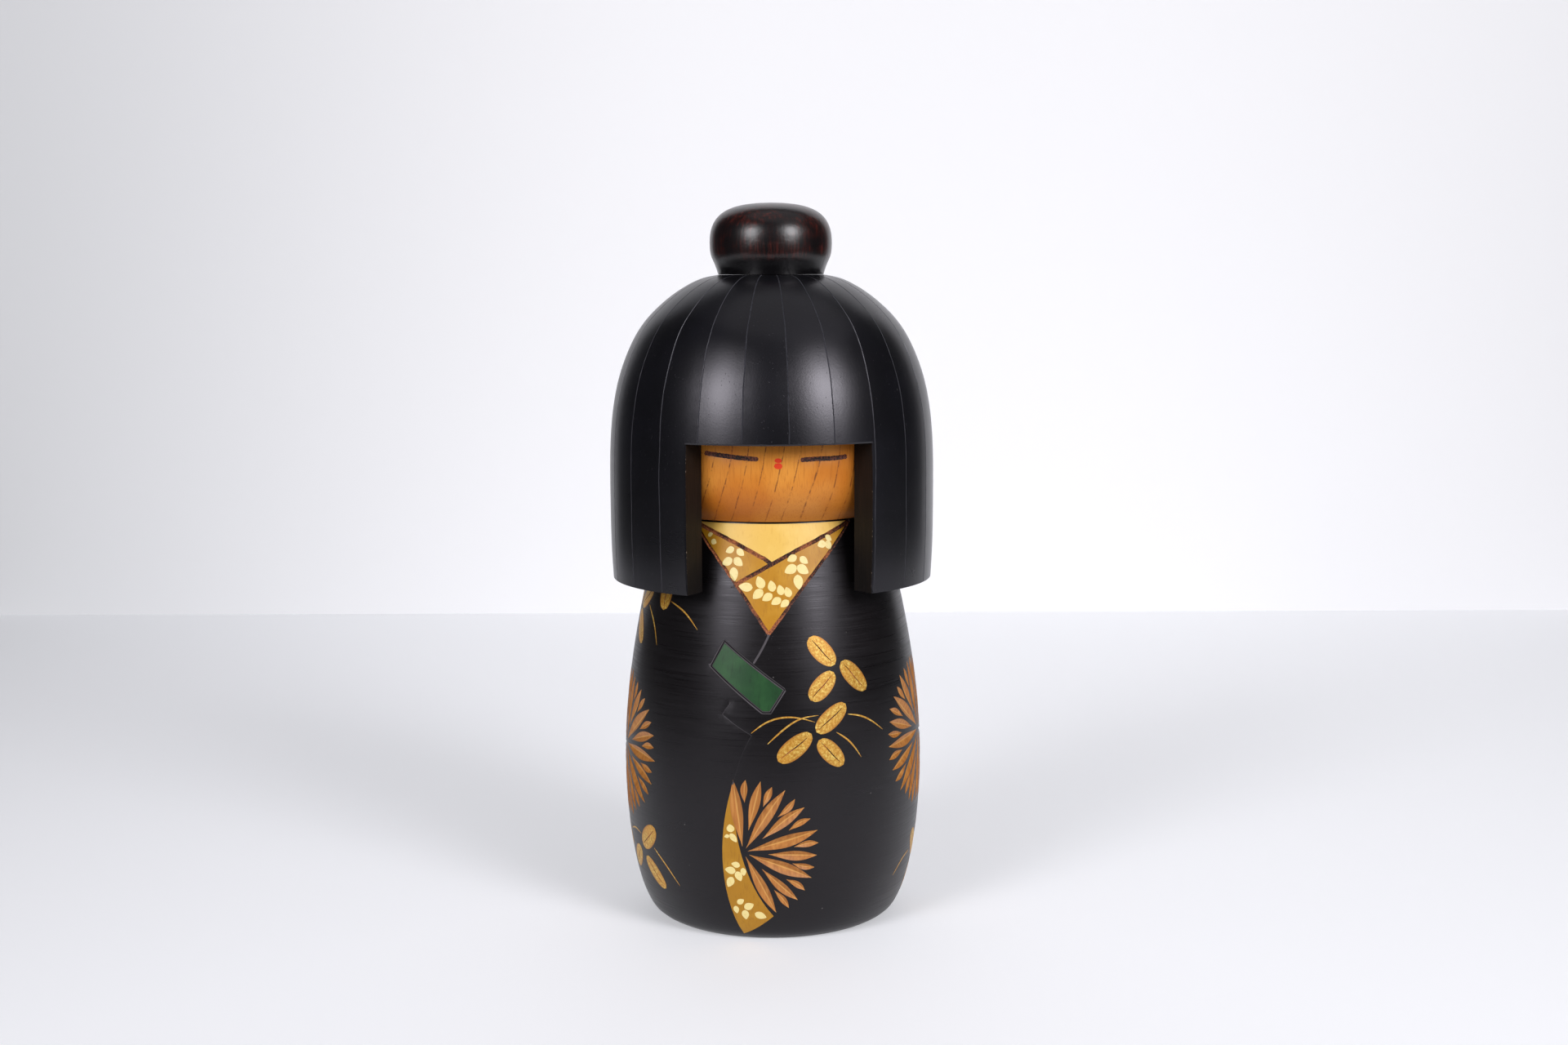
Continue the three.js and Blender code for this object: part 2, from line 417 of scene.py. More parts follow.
class Skin:  # a turned surface unrolled flat, cut along every mark on it, and rolled up again
    def __init__(self, surface, step, seam):  # seam is the azimuth of the sheet's right-hand edge
        self.surface = surface
        self.step = step
        self.wide = 2 * math.pi * surface.widest
        self.left = math.radians(seam - 360) * surface.widest
        self.rows = round(surface.length / step)
        self.columns = round(self.wide / step)
        self.up = surface.length * np.arange(self.rows + 1) / self.rows
        self.marks, self.points, self.edges = [], [], []

    def add(self, mark):
        self.marks.append(mark)

    def chain(self, places, closed):  # a line of points joined by edges
        first = len(self.points)
        self.points += [tuple(p) for p in places]
        ids = list(range(first, len(self.points)))
        self.edges += zip(ids, ids[1:])
        if closed:
            self.edges.append((ids[-1], ids[0]))
        return ids

    def drawBorder(self):
        across = self.left + self.wide * np.arange(self.columns + 1) / self.columns
        self.chain([(x, 0.0) for x in across] + [(across[-1], y) for y in self.up[1:]]
                   + [(x, self.surface.length) for x in across[-2::-1]]
                   + [(self.left, y) for y in self.up[-2:0:-1]], True)

    def drawMarks(self):  # gives each mark's outline as a loop that runs counterclockwise
        loops = []
        for mark in self.marks:
            loop = mark.spot.toSheet(mark.outline())
            x, y = loop.T
            turn = (x * np.roll(y, -1) - y * np.roll(x, -1)).sum()
            loops.append(self.chain(loop if turn > 0 else loop[::-1], True))
            for line in mark.middleLines():
                self.chain(mark.spot.toSheet(line), False)
        return loops

    def fillGrid(self):  # points clear of every mark, with each second row half a step over
        tree = kdtree.KDTree(len(self.points))
        for i, (x, y) in enumerate(self.points):
            tree.insert((x, y, 0), i)
        tree.balance()
        for j in range(1, self.rows):
            shift = 0.5 * (j % 2)
            for i in range(1, self.columns):
                place = (self.left + self.wide * (i + shift) / self.columns, self.up[j])
                free = tree.find((*place, 0))[2] > self.step * turning["markClearance"]
                if free and i + shift < self.columns - turning["sideClearance"]:
                    self.points.append(place)

    def unroll(self):
        self.drawBorder()
        loops = self.drawMarks()
        self.fillGrid()
        points = [Vector(p) for p in self.points]
        made = delaunay_2d_cdt(points, self.edges, loops, 0, turning["pointGap"], True)
        self.sheet = np.array([tuple(v) for v in made[0]])
        self.azimuth = self.sheet[:, 0] / self.surface.widest
        self.along = self.sheet[:, 1]
        seams = [sorted(np.nonzero(np.abs(self.sheet[:, 0] - x) < turning["touching"])[0],
                        key=lambda i: self.along[i]) for x in (self.left + self.wide, self.left)]
        weld = dict(zip(*seams))
        self.faces = [tuple(weld.get(i, i) for i in f) for f in made[2]]
        owners = [max(f, default=None) for f in made[5]]  # the last mark laid over a face owns it
        self.films = [None if m is None else self.marks[m].film for m in owners]
        self.readMarks()

    def readMarks(self):
        count = len(self.sheet)
        self.depth = np.zeros(count)
        self.across = {}
        for mark in self.marks:
            box = mark.spot.toSheet(mark.outline())
            low, high = box.min(0) - turning["readMargin"], box.max(0) + turning["readMargin"]
            inside = np.nonzero(((self.sheet >= low) & (self.sheet <= high)).all(1))[0]
            depth, across = mark.read(self.sheet[inside])
            self.depth[inside] = np.maximum(self.depth[inside], depth)
            if mark.film:
                nearest = self.across.setdefault(mark.film, np.ones(count))
                nearest[inside] = np.minimum(nearest[inside], across)

    def places(self, lift=0.0):
        return self.surface.placed(self.azimuth, self.along, self.depth - lift)

    def rim(self, upper):  # the vertices of the lower or upper edge, in order round the doll
        edge = self.surface.length if upper else 0.0
        used = {i for f in self.faces for i in f}
        ids = [i for i in np.nonzero(np.abs(self.along - edge) < turning["touching"])[0] if i in used]
        return sorted(ids, key=lambda i: self.azimuth[i])


def meshObject(name, places, faces, finishes, attributes=None, indices=None):  # places in mm
    mesh = bpy.data.meshes.new(name)
    mesh.from_pydata([tuple(p * mm) for p in np.asarray(places)], [], faces)
    for finish in finishes:
        mesh.materials.append(finish.material)
    if indices is not None:
        mesh.polygons.foreach_set("material_index", indices)
    for key, values in (attributes or {}).items():
        mesh.attributes.new(key, "FLOAT", "POINT").data.foreach_set("value", np.asarray(values, np.float32))
    mesh.polygons.foreach_set("use_smooth", [True] * len(mesh.polygons))
    mesh.update()
    mesh.validate()
    mesh.set_sharp_from_angle(angle=math.radians(turning["sharpAngle"]))
    made = bpy.data.objects.new(name, mesh)
    bpy.context.scene.collection.objects.link(made)
    return made


def closeRim(places, faces, rim, rings, upward):  # rings of (radius, z) in from a rim, the last at radius 0
    last = list(rim)
    angle = [math.atan2(places[i][0], -places[i][1]) for i in rim]
    for radius, z in rings:
        if radius <= 0:
            places.append((0.0, 0.0, z))
            current = [len(places) - 1] * len(last)
        else:
            current = list(range(len(places), len(places) + len(last)))
            places.extend((radius * math.sin(a), -radius * math.cos(a), z) for a in angle)
        for i in range(len(last)):
            j = (i + 1) % len(last)
            face = [last[i], last[j], current[j], current[i]]
            face = face[:3] if current[i] == current[j] else face
            faces.append(tuple(face if upward else face[::-1]))
        last = current


def solidFromSkin(skin, name, finish, lower, upper, attributes=None):  # closed by rings at both ends
    places = [tuple(p) for p in skin.places()]
    faces = list(skin.faces)
    closeRim(places, faces, skin.rim(False), lower, False)
    closeRim(places, faces, skin.rim(True), upper, True)
    extra = len(places) - len(skin.depth)
    stored = {key: np.r_[values, np.zeros(extra)] for key, values in (attributes or {}).items()}
    return meshObject(name, places, faces, [finish], stored)


def filmFromSkin(skin, film, name, finish):  # a closed thin coat over every face that a film owns
    faces = [f for f, owner in zip(skin.faces, skin.films) if owner == film]
    used = sorted({i for f in faces for i in f})
    local = {old: new for new, old in enumerate(used)}
    top = skin.places(turning["filmLift"])[used]
    under = skin.places(-turning["filmSink"])[used]
    count = len(used)
    upper = [tuple(local[i] for i in f) for f in faces]
    made = upper + [tuple(i + count for i in f[::-1]) for f in upper]
    sides = dict.fromkeys((a, b) for f in upper for a, b in zip(f, f[1:] + f[:1]))
    made += [(b, a, a + count, b + count) for a, b in sides if (b, a) not in sides]
    across = np.tile(skin.across[film][used], 2)
    return meshObject(name, np.vstack([top, under]), made, [finish], {"across": across})


# black lacquer over turned wood: the groove colour lightens the cuts, partly as dust and partly as a painted
# glint of light on the cut walls; the shade strength leaves deep cut bottoms dark as painted shade; lathe
# sets its lines
def lacquer(name, base, blush, roughness, pores, groove, paintedShade, lathe, specular):
    finish = Finish(name, specularIORLevel=specular, specularTint=(0.96, 0.93, 1.0, 1.0))
    cloud = finish.noise(0.035, detail=3.0)
    broad = finish.fibre(0.022, 0.7, 2.0, 0.6)
    lines = finish.fibre(0.045, 3.6, 3.0, 0.6)
    fibre = finish.fibre(0.9, 0.06, 2.0)
    colour = finish.mix(base, blush, finish.fade(cloud, 0.35, 0.75))
    dust = finish.specks(0.16, 0.045) * finish.fade(finish.noise(0.05), 0.5, 0.62)
    colour = finish.mix(colour, "#6d6a68", dust * 0.6)
    cut = finish.fade(finish.drawn("cut"), 0.06, 0.3)
    # painted shade: the deepest part of each cut keeps the dark lacquer colour
    paintedDeepShade = finish.fade(finish.drawn("cut"), 0.55, 0.8) * paintedShade
    # the light grey groove colour is partly dust and partly a painted glint on the cut walls
    colour = finish.mix(colour, groove, cut * (1.0 - paintedDeepShade) * 0.75)
    turned = ((lines - 0.5) * 0.45 + (broad - 0.5) * 0.12) * lathe
    rough = roughness + turned + (cloud - 0.5) * 0.1 + cut * 0.15
    pits = finish.specks(0.9, 0.1, (1, 1, 0.5)) * pores
    peel = finish.noise(1.7, detail=3.0) * pores
    height = lines * 0.6 * lathe + broad * 0.1 * lathe + fibre * 0.12 + peel * 0.5 - pits * 1.2
    return finish.set(baseColor=colour, roughness=rough, normal=finish.bump(height, 0.03))


def carvedWood(name, base, dark, light):  # bare stained wood in a cut, with a painted highlight along the middle of each cut
    finish = Finish(name, specularIORLevel=0.3)
    fibre = finish.fibre(1.1, 0.09, 2.0, 0.5)
    blotch = finish.noise(0.11, detail=2.0)
    colour = finish.ramp(fibre, [(0.3, dark), (0.52, base), (0.72, light)])
    colour = finish.mix(colour, dark, finish.fade(blotch, 0.52, 0.8) * 0.3)
    edge = finish.fade(finish.drawn("across"), 0.72, 1.0)
    colour = finish.mix(colour, dark, edge * 0.5)
    # painted highlight: a lighter line down the middle of each cut petal
    paintedValleyHighlight = finish.fade(finish.drawn("across"), 0.26, 0.0)
    colour = finish.mix(colour, "#cf9f58", paintedValleyHighlight * 0.6)
    return finish.set(baseColor=colour, roughness=0.42, normal=finish.bump(fibre, 0.03))


def goldLeaf(name):
    finish = Finish(name, metallic=0.35)
    flakes = finish.noise(1.5, detail=4.0, roughness=0.7)
    wash = finish.noise(0.22, detail=2.0)
    # the palest flake colour is partly speckled gold paint and partly painted glint
    colour = finish.ramp(flakes, [(0.34, "#a2691c"), (0.5, "#bc8f36"), (0.66, "#dbc26a")])
    colour = finish.mix(colour, "#bf8226", finish.fade(wash, 0.45, 0.7) * 0.5)
    rim = finish.fade(finish.drawn("across") + (flakes - 0.5) * 0.25, 0.72, 1.0)
    colour = finish.mix(colour, "#9c5c1c", rim * 0.75)
    uneven = (flakes - 0.5) * 0.3
    return finish.set(baseColor=colour, roughness=0.42 + uneven, normal=finish.bump(flakes, 0.02))


def clearPaint(name, base, dark, light, grain, roughness):  # thin paint with the grain showing
    finish = Finish(name, specularIORLevel=0.32)
    fibre = finish.fibre(1.3, 0.07, 4.0, 0.6)
    wash = finish.noise(0.13, detail=3.0)
    colour = finish.mix(base, light, finish.fade(wash, 0.4, 0.75) * 0.7)
    colour = finish.mix(colour, dark, finish.fade(fibre, 0.5, 0.78) * grain)
    return finish.set(baseColor=colour, roughness=roughness, normal=finish.bump(fibre, 0.015))


def thickPaint(name, base, dark):
    finish = Finish(name)
    wash = finish.noise(0.9, detail=3.0)
    colour = finish.mix(base, dark, finish.fade(wash, 0.5, 0.75) * 0.5)
    return finish.set(baseColor=colour, roughness=0.45, normal=finish.bump(wash, 0.03))


def burntLine(name, pale, brown, dark):  # ribbed by a hot tip, darker where it dwelt
    finish = Finish(name, specularIORLevel=0.3)
    ticks = finish.noise(1.9, detail=2.0)
    patches = finish.noise(0.13, detail=1.0)
    dwell = finish.fade(patches, 0.58 - dark * 0.36, 0.6 - dark * 0.1)
    colour = finish.mix(pale, brown, finish.fade(ticks, 0.4, 0.6))
    char = finish.mix("#5e3020", "#100808", finish.fade(ticks, 0.36, 0.52))
    colour = finish.mix(colour, char, dwell * 0.9)
    return finish.set(baseColor=colour, roughness=0.6, normal=finish.bump(ticks, 0.12))


def faceWood(name):  # clear-lacquered wood with leaning grain; darker at the chin as painted shade, and darker and redder at the sides, partly stain and partly painted shadow of the hair
    finish = Finish(name, specularIORLevel=0.28, coatWeight=0.06, coatRoughness=0.25)
    x, z = finish.axis("X"), finish.axis("Z")
    fall = 156.0 - z
    drift = finish.noise(0.04, (1, 1, 0.3), detail=2.0) * 7.0
    ring = (x + fall * 0.09 + fall * fall * 0.0065 + drift) / 5.4
    near = ring.math("FRACT")
    shiver = finish.noise(0.9, (1, 1, 0.25), detail=2.0) * 0.07
    line = finish.fade((near + shiver - 0.5).math("ABSOLUTE"), 0.055, 0.012)
    broken = finish.noise(0.55, (0.5, 0.5, 0.8), detail=3.0, roughness=0.7)
    fibre = finish.fibre(2.6, 0.16, 4.0, 0.6)
    wash = finish.noise(0.05, detail=2.0)
    pores = finish.specks(0.9, 0.16, (1, 1, 0.45)) * finish.fade(broken, 0.5, 0.7)
    colour = finish.mix("#bd6f1c", "#cf8a36", finish.fade(wash, 0.35, 0.7))
    colour = finish.mix(colour, "#964f14", finish.fade(fibre, 0.46, 0.74) * 0.45)
    streak = line * finish.fade(broken, 0.36, 0.62)
    colour = finish.mix(colour, "#5a2f12", (streak * 0.8 + pores * 0.45).math("MINIMUM", 0.85))
    # painted shade: the face darkens towards the chin, where it curves under
    paintedChinShade = finish.fade(z, 146.0, 133.0)
    colour = finish.mix(colour, "#8a450c", paintedChinShade * 0.5)
    # darker and redder towards the sides: partly stain, partly painted shadow of the hair
    colour = finish.mix(colour, "#9c480f", finish.fade(x.math("ABSOLUTE"), 14.0, 38.0) * 0.6)
    relief = finish.bump(fibre - streak * 0.6, 0.02)
    return finish.set(baseColor=colour, roughness=0.42 + streak * 0.1, normal=relief)


def cutWood(name):  # the hollow and the cut sides of the hair, brown with faint grain
    finish = Finish(name, specularIORLevel=0.2)
    fibre = finish.fibre(1.4, 0.09, 4.0, 0.65)
    colour = finish.ramp(fibre, [(0.32, "#080605"), (0.55, "#0f0b09"), (0.75, "#1b130d")])
    chip = finish.fade(finish.noise(1.3, detail=3.0), 0.6, 0.68)
    chip = chip * finish.fade(finish.drawn("edgeWear"), 0.3, 0.9)
    colour = finish.mix(colour, "#8d7e70", chip)
    return finish.set(baseColor=colour, roughness=0.55, normal=finish.bump(fibre, 0.04))


def bunLacquer(name):  # red-brown wood showing through worn black gloss
    finish = Finish(name, specularIORLevel=0.42, coatWeight=0.14, coatRoughness=0.16)
    fibre = finish.fibre(1.2, 0.1, 4.0, 0.6)
    wash = finish.noise(0.085, (1, 1, 1.6), detail=3.0)
    crinkle = finish.noise(0.8, (1.4, 1.4, 0.5), detail=3.0)
    colour = finish.ramp(fibre, [(0.36, "#0c0809"), (0.53, "#240d0b"), (0.7, "#481a14")])
    colour = finish.mix(colour, "#0a080a", finish.fade(wash, 0.44, 0.6) * 0.85)
    # painted shade: the bun's colour goes to plain black towards its foot, under its bulge
    low = finish.fade(finish.axis("Z"), 214.0, 211.0)
    colour = finish.mix(colour, "#09080a", low)
    height = fibre * 0.6 + crinkle * finish.fade(wash, 0.55, 0.4) * 1.6
    return finish.set(baseColor=colour, roughness=0.29, normal=finish.bump(height, 0.04))


def dowelWood(name):
    finish = Finish(name)
    fibre = finish.fibre(1.5, 0.08, 4.0)
    colour = finish.ramp(fibre, [(0.3, "#b98b56"), (0.55, "#d2a871"), (0.75, "#e2c08f")])
    return finish.set(baseColor=colour, roughness=0.6, normal=finish.bump(fibre, 0.03))


finishes = {
    # the groove greys are partly dust and partly painted glint; the robe's deep cuts also keep painted shade
    "robe": lacquer("robeLacquer", "#0b090a", "#100d0e", roughness=0.34, pores=0.5, groove="#555053",
                    paintedShade=1.0, lathe=0.8, specular=0.33),
    "hair": lacquer("hairLacquer", "#08080b", "#0d0d12", roughness=0.29, pores=1.0, groove="#4a4a50",
                    paintedShade=0.0, lathe=0.03, specular=0.5),
    "petal": carvedWood("petalWood", "#a66c31", "#915a27", "#b37b3d"),
    "gold": goldLeaf("goldLeaf"),
    "eyes": burntLine("burntEyes", "#6e3a28", "#40211a", 0.75),
    "collar": clearPaint("collarOchre", "#ab7715", "#8c5a10", "#bb8a2a", 0.5, 0.45),
    "lining": clearPaint("liningOchre", "#a07013", "#7b4f0e", "#af801f", 0.6, 0.45),
    "cream": thickPaint("creamDrops", "#ddcb88", "#cfb15e"),
    "neck": clearPaint("neckYellow", "#d8b056", "#c28c38", "#e1c06e", 0.35, 0.45),
    "burnt": burntLine("burntLine", "#9a5a33", "#6a3a22", 0.5),
    "green": clearPaint("greenPad", "#173c1e", "#0f2413", "#265029", 0.6, 0.42),
    "face": faceWood("faceWood"),
    "lips": clearPaint("lipRed", "#cb3410", "#ad2a10", "#d8481c", 0.3, 0.55),
    "cut": cutWood("cutWood"),
    "bun": bunLacquer("bunLacquer"),
    "dowel": dowelWood("dowelWood"),
}

# the robe: every mark is cut or painted on one sheet round the trunk
robePlan = {"step": 1.7, "seam": 213.0, "footRings": (36.2, 20.0), "fullCut": 0.3, "overBores": 20}
robeSurface = Turned("trunk", lambda r, z: r > robePlan["overBores"])
robe = Skin(robeSurface, robePlan["step"], robePlan["seam"])


def curve(points, count):  # a smooth line through a few places
    points = np.asarray(points, float)
    knots = np.r_[0, np.cumsum(np.hypot(*np.diff(points, axis=0).T))]
    at = np.linspace(0, knots[-1], count)
    return np.column_stack([smoothCurve(knots, points[:, i], at) for i in (0, 1)])


def wander(count, sway, seed, layer, swap=False):  # smooth random values along a line; sway is (pace, size)
    places = [(seed, k * sway[0], layer) for k in range(count)]
    return np.array([noise.noise((b, a, c) if swap else (a, b, c)) for a, b, c in places]) * sway[1]


def wobbled(line, sway, seed):  # the same line drawn by hand
    count = len(line)
    return line + np.column_stack([wander(count, sway, seed, 0), wander(count, sway, seed, 3, True)])


def stroke(x, y, tilt, length, t):  # a straight line with its middle at x, y
    lean = math.radians(tilt)
    reach = (t - 0.5) * length
    return np.column_stack([x + reach * math.cos(lean), y + reach * math.sin(lean)])


def swell(t, lean, power):  # share of the full width along a stroke, nothing at 0 and 1
    return np.sin(np.pi * t ** lean) ** power


def oval(t, power):  # share of the full width along an oval
    return np.sqrt(np.maximum(1 - np.abs(2 * t - 1) ** power, 0))


# petal cuts in turn round a flower, each as where it starts from the middle and its width
flower = {"radius": 23.6, "cuts": ((1.6, 3.75), (15.8, 2.1), (7.6, 3.1), (15.8, 2.1)), "rounds": 9,
          "points": 15, "fullest": 1.2, "slope": 0.5, "bow": 1.25, "turnJitter": (-0.8, 0.8),
          "tipJitter": (-0.7, 0.5), "widthJitter": (0.94, 1.06), "baseJitter": (-0.3, 0.3),
          "bendJitter": (-0.6, 0.6)}
flowers = {
    "Front": {"azimuth": -10.9, "height": 30.6, "turn": 17.1, "span": (-66, 100)},
    "Left": {"azimuth": -78.3, "height": 57.2, "turn": -4.0, "span": (-180, 180)},
    "Right": {"azimuth": 77.3, "height": 61.4, "turn": 184.0, "span": (-180, 180)},
    "Back": {"azimuth": 168.0, "height": 44.0, "turn": 9.0, "span": (-180, 180)},
}


def ray(angle, near, far, bend):  # a slightly bent line out from a flower's middle
    t = np.linspace(0, 1, flower["points"])
    reach = near + (far - near) * t
    turn = math.radians(angle) + bend * np.sin(np.pi * t) / far
    return np.column_stack([reach * np.cos(turn), reach * np.sin(turn)])


def carveFlower(name, place):
    chance = random.Random(name)
    spot = Spot(robeSurface, place["azimuth"], place["height"])
    count = len(flower["cuts"]) * flower["rounds"]
    shape = swell(np.linspace(0, 1, flower["points"]), flower["fullest"], 1)
    low, high = place["span"]
    for i in range(count):
        base, width = flower["cuts"][i % len(flower["cuts"])]
        angle = (place["turn"] + 360 / count * i + 180) % 360 - 180
        if not low <= angle <= high:
            continue
        angle += chance.uniform(*flower["turnJitter"])
        tip = flower["radius"] + chance.uniform(*flower["tipJitter"])
        width *= chance.uniform(*flower["widthJitter"])
        foot = base + chance.uniform(*flower["baseJitter"])
        line = ray(angle, foot, tip, chance.uniform(*flower["bendJitter"]))
        depth = width * shape / 2 * flower["slope"]
        robe.add(Ribbon(spot, line, width * shape, depth, "petals" + name, flower["bow"], (0.5,)))


leaf = {"points": 21, "roundness": 2.15, "foot": 1.04, "taper": 0.09, "lanes": (0.5, 0.84),
        "veinSpan": (0.08, 0.9), "veinEnds": (0.04, 0.9), "veinWidth": 0.34, "veinDepth": 0.12,
        "veinSway": 0.12, "veinWaves": 7, "stemWidth": 0.55, "stemEnds": (0.02, 0.98), "stemPoints": 17}


def paintLeaf(place, film):
    azimuth, height, tilt, length, width = place
    spot = Spot(robeSurface, azimuth, height)
    t = np.linspace(0, 1, leaf["points"])
    line = stroke(0, 0, tilt, length, t)
    full = width * oval(t, leaf["roundness"]) * (leaf["foot"] - leaf["taper"] * t)
    robe.add(Ribbon(spot, line, full, 0, film, 1.0, leaf["lanes"]))
    low, high = leaf["veinSpan"]
    part = (t > low) & (t < high)
    vein = leaf["veinWidth"] * swell(np.linspace(*leaf["veinEnds"], part.sum()), 1, 0.6)
    lean = math.radians(tilt)
    bend = np.sin(t[part] * leaf["veinWaves"])
    sway = np.column_stack([-bend * math.sin(lean), bend * math.cos(lean)]) * leaf["veinSway"]
    robe.add(Ribbon(spot, line[part] + sway, vein, leaf["veinDepth"], "burntVeins"))


def paintStem(places, film):
    spot, line = spotAmong(robeSurface, places)
    full = leaf["stemWidth"] * swell(np.linspace(*leaf["stemEnds"], leaf["stemPoints"]), 0.8, 0.6)
    robe.add(Ribbon(spot, curve(line, leaf["stemPoints"]), full, 0, film))


dab = {"points": 13, "spread": 56, "scatter": 8, "smallest": 0.84, "growth": 0.22,
       "lengthJitter": (0.92, 1.06), "width": 0.7, "tipLength": 1.2, "tipWidth": 0.75}


def drop(spot, x, y, tilt, length, width, film):  # a brush dab, fuller at its foot
    t = np.linspace(0, 1, dab["points"])
    line = stroke(x, y, tilt, length, t)
    robe.add(Ribbon(spot, line, width * swell(t, 0.8, 0.75), 0, film))


def spray(spot, path, size, film):  # dabs in pairs along a path and one at its tip
    path = np.array(path, float)
    headings = [math.degrees(math.atan2(ahead[1], ahead[0])) for ahead in np.gradient(path, axis=0)]
    chance = random.Random(round(path.sum() * 100))
    for i, (place, heading) in enumerate(zip(path[:-1], headings)):
        grown = size * (dab["smallest"] + dab["growth"] * i / max(len(path) - 2, 1))
        for side in (-1, 1):
            lean = math.radians(heading + side * 90)
            x, y = place + np.array([math.cos(lean), math.sin(lean)]) * size * 0.5
            long = grown * chance.uniform(*dab["lengthJitter"])
            turn = side * (dab["spread"] + chance.uniform(-dab["scatter"], dab["scatter"]))
            drop(spot, x, y, heading + turn, long, long * dab["width"], film)
    drop(spot, *path[-1], headings[-1], size * dab["tipLength"], size * dab["tipWidth"], film)


collar = {"left": [(-42.5, 131.0), (-16.8, 113.7), (-1.1, 98.2)],  # (azimuth, height) along each edge
          "right": [(43.5, 131.0), (16.2, 113.8), (-1.1, 98.2)],
          "under": [(-42.0, 130.9), (-18.3, 125.5), (-0.2, 119.6)],
          "over": [(43.0, 130.9), (9.3, 122.2), (-16.6, 112.6)],
          "sprays": [([(-17.3, 122.8), (-18.1, 119.6), (-17.1, 115.9)], 3.7),  # path, size
                     ([(6.4, 109.0), (3.0, 109.7), (-0.8, 110.9), (-5.4, 111.9), (-11.4, 112.2)], 3.7),
                     ([(12.4, 120.4), (11.6, 117.4), (12.0, 113.6)], 3.9)],
          "loose": [(24.8, 124.6, 195, 3.1, 2.4), (28.4, 124.2, 300, 3.0, 2.5), (29.0, 126.3, 320, 2.7, 1.9),
                    (-28.9, 125.3, -20, 2.2, 1.8), (-31.4, 127.4, 20, 2.0, 1.4)],  # and tilt, length, width
          "points": 25, "middle": 115, "topGap": 0.35, "wobble": (0.8, 0.2), "cutDepth": 0.26,
          "lines": {"under": (1.3, 5), "over": (1.3, 4), "left": (1.0, 7), "right": (1.0, 8)}}  # width, seed


def dressCollar():
    spot = Spot(robeSurface, 0, collar["middle"])
    edge = {key: curve(spot.flat(collar[key]), collar["points"]) for key in collar["lines"]}
    meet = np.linalg.norm(edge["over"] - edge["under"][-1], axis=1).argmin()
    edge["under"][-1] = edge["over"][meet]
    neckLine = robeSurface.z[-1] - collar["topGap"]
    sides = collar["left"][0][0], collar["right"][0][0]
    top = spot.flat([(a, neckLine) for a in np.linspace(*sides, collar["points"])])
    robe.add(Patch(spot, np.vstack([edge["left"], edge["right"][-2::-1], top[::-1]]), "collar"))
    robe.add(Patch(spot, np.vstack([edge["over"][:meet], edge["under"][::-1], top[1:-1]]), "neck"))
    for key, (width, seed) in collar["lines"].items():
        line = wobbled(edge[key], collar["wobble"], seed)
        robe.add(Ribbon(spot, line, width, collar["cutDepth"], "burntFolds"))
    for path, size in collar["sprays"]:
        spray(spot, spot.flat(path), size, "creamCollar")
    for azimuth, height, tilt, length, width in collar["loose"]:
        drop(spot, *spot.flat([(azimuth, height)])[0], tilt, length, width, "creamCollar")


# the ochre lining beside the front flower, in flat places round the flower's middle
lining = {"left": ((-3.0, 21.4), (-7.3, 8.0), (-9.3, -12.0), (-1.8, -29.6)),
          "foot": ((-1.8, -29.6), (2.0, -27.8), (6.0, -25.0), (9.3, -21.9)),
          "right": ((-3.0, 21.4), (-3.2, 8.0), (-0.9, -9.5), (9.3, -21.9)),
          "dabs": ((-3.9, 7.6, 100, 2.6, 2.5), (-5.1, 4.9, 200, 1.7, 1.2), (-3.0, 4.5, -52, 3.4, 1.9)),
          "sprays": (([(-1.4, -5.4), (-3.1, -7.2), (-4.7, -10.3)], 3.3),
                     ([(-2.5, -18.4), (0.4, -20.0), (4.9, -21.7)], 3.5))}


def bezier(a, b, c, d, count=17):
    t = np.linspace(0, 1, count)[:, None]
    a, b, c, d = map(np.array, (a, b, c, d))
    return a * (1 - t) ** 3 + 3 * b * t * (1 - t) ** 2 + 3 * c * t ** 2 * (1 - t) + d * t ** 3


def layLining():
    spot = Spot(robeSurface, flowers["Front"]["azimuth"], flowers["Front"]["height"])
    left, right = bezier(*lining["left"]), bezier(*lining["right"])
    foot = bezier(*lining["foot"], 9)
    robe.add(Patch(spot, np.vstack([left, foot[1:-1], right[:0:-1]]), "lining"))
    for place in lining["dabs"]:
        drop(spot, *place, "creamLining")
    for path, size in lining["sprays"]:
        spray(spot, path, size, "creamLining")


dressCollar()
layLining()
for name, place in flowers.items():
    carveFlower(name, place)

# a whole sprig's leaves as (x, y, tilt, length, width) from its middle
sprigLeaves = [(-1.3, 15.7, -48, 11.9, 6.3), (9.5, 7.2, -49, 12.8, 6.0), (-1.8, 5.0, 45, 11.4, 6.3),
               (0.7, -5.0, 38, 12.9, 6.1), (-11.0, -13.4, 38, 13.3, 6.3), (0.2, -15.7, -46, 11.6, 6.0)]
